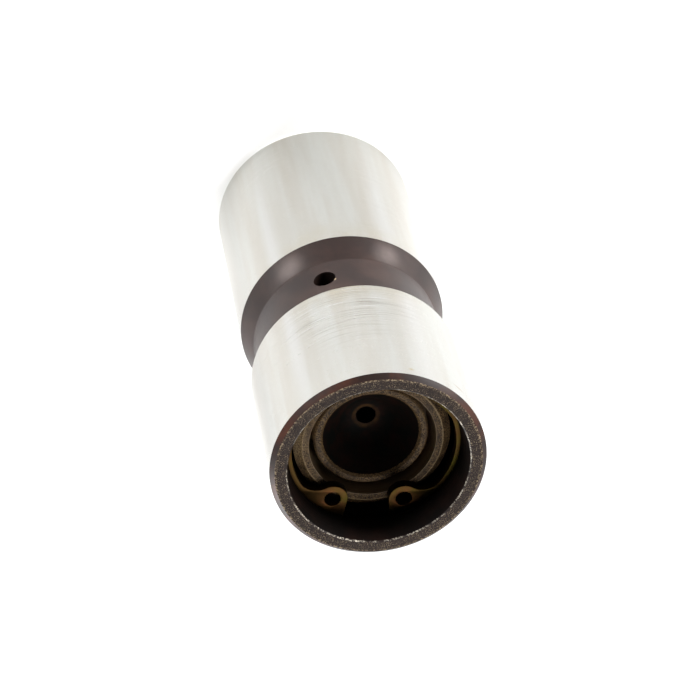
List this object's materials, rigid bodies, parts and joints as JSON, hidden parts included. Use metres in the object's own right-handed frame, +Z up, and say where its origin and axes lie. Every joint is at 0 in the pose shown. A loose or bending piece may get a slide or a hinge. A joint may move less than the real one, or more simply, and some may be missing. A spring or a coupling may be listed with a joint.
{
  "type": "valve lifter",
  "caption": "Hydraulic flat-foot valve lifter: ground cylinder with an oil band, a sprung plunger and pushrod cup held by a snap ring.",
  "frame": {"origin": "on the lifter's axis, in the plane of the foot that it stands on", "axes": "+Z up the axis from the foot to the mouth; +Y through the snap ring's gap"},
  "size_m": [0.0222, 0.0222, 0.0506],
  "materials": {
    "body_steel": "ground lands over dark oxide-coated steel",
    "ring_steel": "yellow zinc plated spring steel",
    "plunger_steel": "tumbled grey steel",
    "seat_steel": "tumbled grey steel",
    "spring_steel": "bright drawn or pressed steel",
    "ball_steel": "polished bearing steel"
  },
  "bodies": {
    "lifter": {"lifter_body": "body_steel", "retaining_ring": "ring_steel", "plunger_spring": "spring_steel"},
    "plunger_unit": {"plunger": "plunger_steel", "pushrod_seat": "seat_steel", "ball_cage": "spring_steel", "ball_spring": "spring_steel"},
    "ball": {"check_ball": "ball_steel"},
    "disc": {"metering_disc": "spring_steel"}
  },
  "joints": [
    {"name": "plunger_slide", "type": "slide", "parent": "lifter", "child": "plunger_unit", "axis": [0, 0, -1], "range_m": [0, 0.0045], "stiffness_N_per_m": 1500, "springref_m": -0.005, "deforming": ["plunger_spring"]},
    {"name": "check_ball_lift", "type": "slide", "parent": "plunger_unit", "child": "ball", "axis": [0, 0, -1], "range_m": [0, 0.0003], "stiffness_N_per_m": 80, "springref_m": -0.002, "deforming": ["ball_spring"]},
    {"name": "metering_disc_lift", "type": "slide", "parent": "plunger_unit", "child": "disc", "axis": [0, 0, 1], "range_m": [0, 0.00025]}
  ]
}
